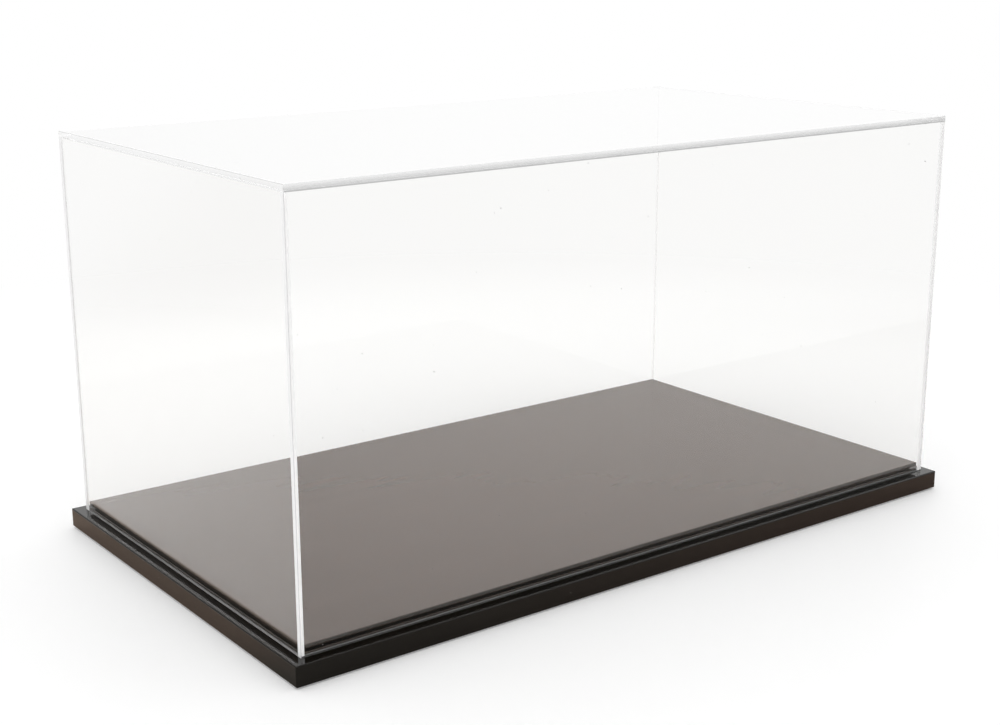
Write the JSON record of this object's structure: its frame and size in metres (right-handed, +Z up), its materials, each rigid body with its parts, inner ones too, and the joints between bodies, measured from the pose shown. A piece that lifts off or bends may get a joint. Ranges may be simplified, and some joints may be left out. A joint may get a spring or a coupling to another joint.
{
  "type": "display case",
  "caption": "Long clear five-sided cover that lifts off a dark lacquered plinth, standing on a narrow ledge around a raised, grooved display board.",
  "frame": {"origin": "centre of the footprint, on the surface that the foot pads stand on", "axes": "+Z up, +X to the right along the case's length, +Y to the back"},
  "size_m": [0.504, 0.29, 0.256],
  "materials": {
    "clear_acrylic": "polished",
    "dark_lacquer": "gloss",
    "brown_lacquer": "gloss",
    "zinc_screw": "satin",
    "felt_pad": "matte"
  },
  "bodies": {
    "plinth": {"plinth_board": "dark_lacquer", "display_board": "brown_lacquer", "board_screws": "zinc_screw", "foot_pad_front_left": "felt_pad", "foot_pad_front_right": "felt_pad", "foot_pad_back_left": "felt_pad", "foot_pad_back_right": "felt_pad"},
    "cover": {"front_panel": "clear_acrylic", "back_panel": "clear_acrylic", "left_panel": "clear_acrylic", "right_panel": "clear_acrylic", "top_panel": "clear_acrylic"}
  },
  "joints": [
    {"name": "cover_lift", "type": "slide", "parent": "plinth", "child": "cover", "axis": [0, 0, 1], "range_m": [0, 0.25]}
  ]
}
